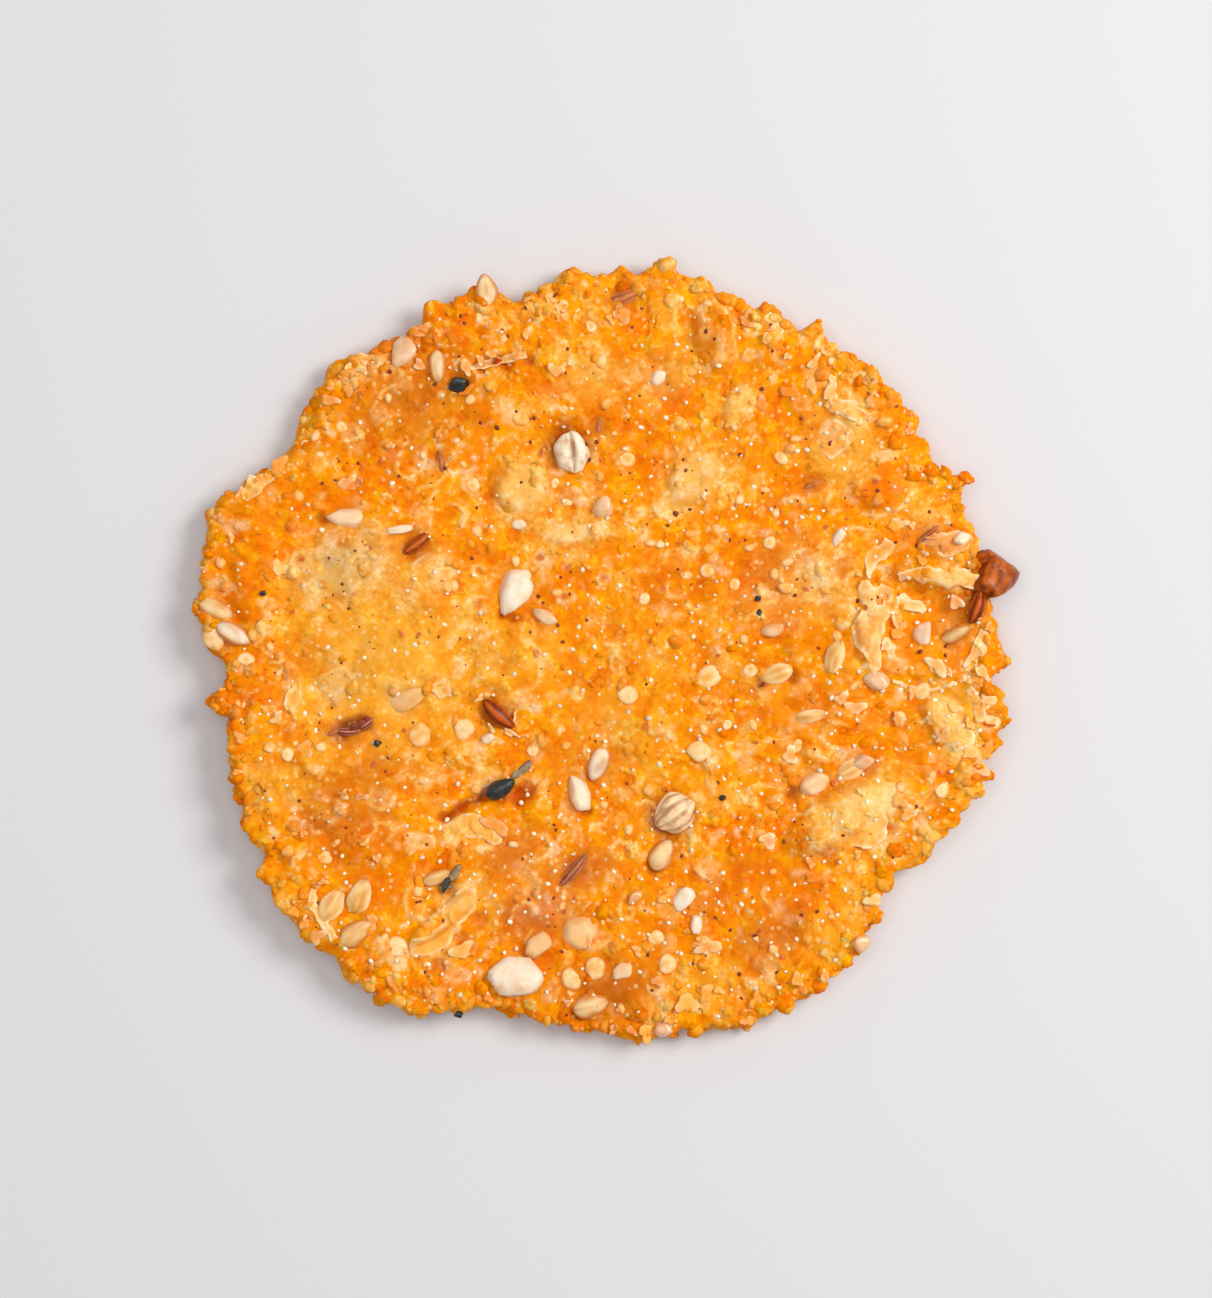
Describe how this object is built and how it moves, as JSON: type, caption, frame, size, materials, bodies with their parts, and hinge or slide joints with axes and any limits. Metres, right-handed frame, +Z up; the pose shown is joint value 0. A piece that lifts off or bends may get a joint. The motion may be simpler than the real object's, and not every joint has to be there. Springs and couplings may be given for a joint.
{
  "type": "rice flour cracker",
  "caption": "Thin round fried rice flour cracker with a craggy edge, a blistered face, and sesame, cumin, coriander and nut pieces set in it.",
  "frame": {"origin": "under the middle of the cracker, on the surface that it lies on", "axes": "+Z up out of the seeded face, +X to the right and +Y to the top of that face as it is seen from above"},
  "size_m": [0.0686, 0.0656, 0.0046],
  "materials": {
    "crust": "satin",
    "pale_seed": "satin",
    "nut": "satin",
    "brown_seed": "satin",
    "black_seed": "satin"
  },
  "bodies": {
    "root": {"cracker": "crust"}
  },
  "joints": []
}
